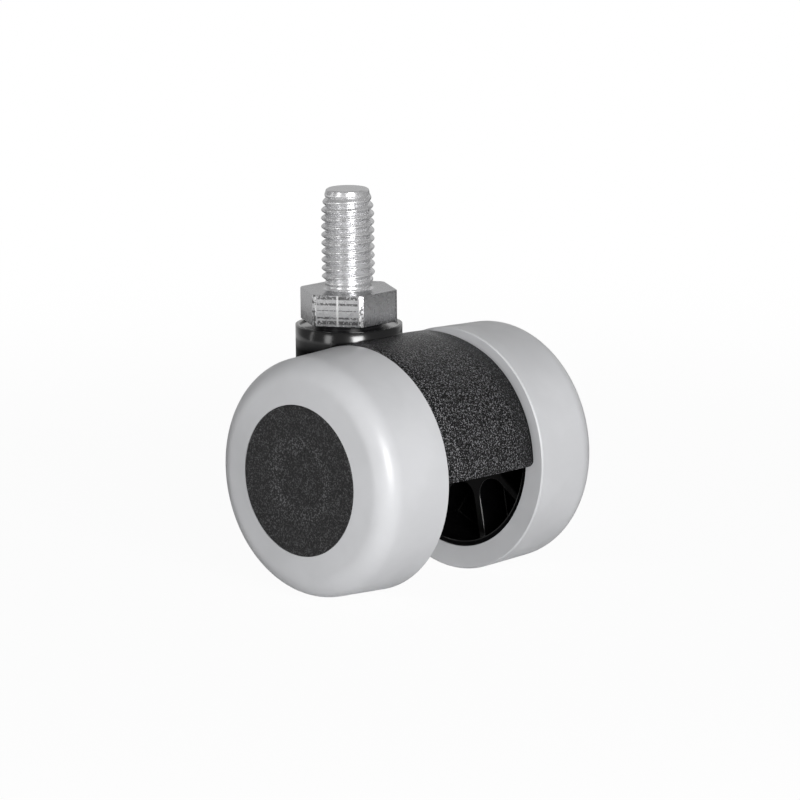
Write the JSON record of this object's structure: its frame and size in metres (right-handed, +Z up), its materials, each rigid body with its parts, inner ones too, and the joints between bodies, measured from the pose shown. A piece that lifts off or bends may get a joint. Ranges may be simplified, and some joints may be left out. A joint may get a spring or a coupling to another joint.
{
  "type": "twin wheel castor",
  "caption": "Small swivel castor with twin soft-tread wheels, a black hood between them, a hexagon collar and a threaded stem.",
  "frame": {"origin": "on the stem's axis, at the top face of the hexagon, where the stud goes into the furniture", "axes": "+Z up along the stud, +X from the stem towards the trailing axle, Y along the axle"},
  "size_m": [0.0381, 0.0456, 0.0573],
  "materials": {
    "plated_steel": "bright zinc plate",
    "spring_steel": "blued spring steel",
    "black_acetal": "smooth gloss",
    "black_nylon": "grained hood, smooth glossy boss",
    "core_nylon": "smooth gloss",
    "grey_tread": "smooth semi-gloss",
    "cap_plastic": "fine grained"
  },
  "bodies": {
    "stem": {"stem": "plated_steel", "retaining_ring": "spring_steel"},
    "swivel": {"housing": "black_nylon", "swivel_bush": "black_acetal", "axle": "plated_steel", "lock_washer_left": "spring_steel", "lock_washer_right": "spring_steel"},
    "wheel_left": {"wheel_core_left": "core_nylon", "tread_left": "grey_tread", "wheel_cap_left": "cap_plastic"},
    "wheel_right": {"wheel_core_right": "core_nylon", "tread_right": "grey_tread", "wheel_cap_right": "cap_plastic"}
  },
  "joints": [
    {"name": "swivel", "type": "hinge", "parent": "stem", "child": "swivel", "pos_m": [0, 0, 0], "axis": [0, 0, 1], "continuous": true},
    {"name": "wheel_left_spin", "type": "hinge", "parent": "swivel", "child": "wheel_left", "pos_m": [0.012, 0, -0.02409], "axis": [0, 1, 0], "continuous": true},
    {"name": "wheel_right_spin", "type": "hinge", "parent": "swivel", "child": "wheel_right", "pos_m": [0.012, 0, -0.02409], "axis": [0, 1, 0], "continuous": true}
  ]
}
